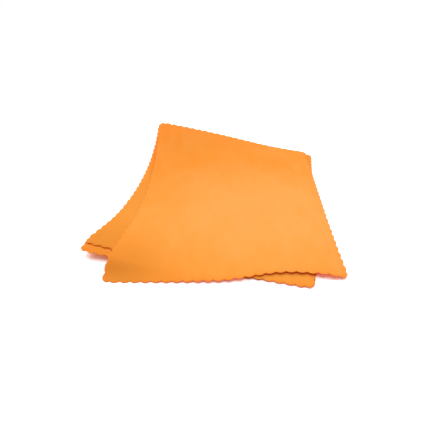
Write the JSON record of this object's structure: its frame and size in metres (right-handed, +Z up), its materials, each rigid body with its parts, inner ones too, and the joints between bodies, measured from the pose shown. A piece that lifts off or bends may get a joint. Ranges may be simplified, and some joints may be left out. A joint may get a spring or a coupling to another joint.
{
  "type": "microfiber polishing cloth",
  "caption": "Small pile of loose microfiber polishing cloths with scalloped edges, laid askew with softly lifted corners.",
  "frame": {"origin": "on the table, under the middle of the pile's box", "axes": "+X to the right along the near edge, +Y away from the viewer, +Z up off the table"},
  "size_m": [0.3112, 0.3476, 0.0489],
  "materials": {
    "top_fabric": "matt orange split-microfiber suede with a short nap",
    "under_fabric": "matt orange split-microfiber suede with a short nap"
  },
  "bodies": {
    "bottom_cloth": {"bottom_cloth": "under_fabric"},
    "middle_cloth": {"middle_cloth": "under_fabric"},
    "top_cloth": {"top_cloth": "top_fabric"}
  },
  "joints": [
    {"name": "middle_cloth_lift", "type": "slide", "parent": "bottom_cloth", "child": "middle_cloth", "axis": [0, 0, 1], "range_m": [0, 0.08]},
    {"name": "top_cloth_lift", "type": "slide", "parent": "middle_cloth", "child": "top_cloth", "axis": [0, 0, 1], "range_m": [0, 0.08]}
  ]
}
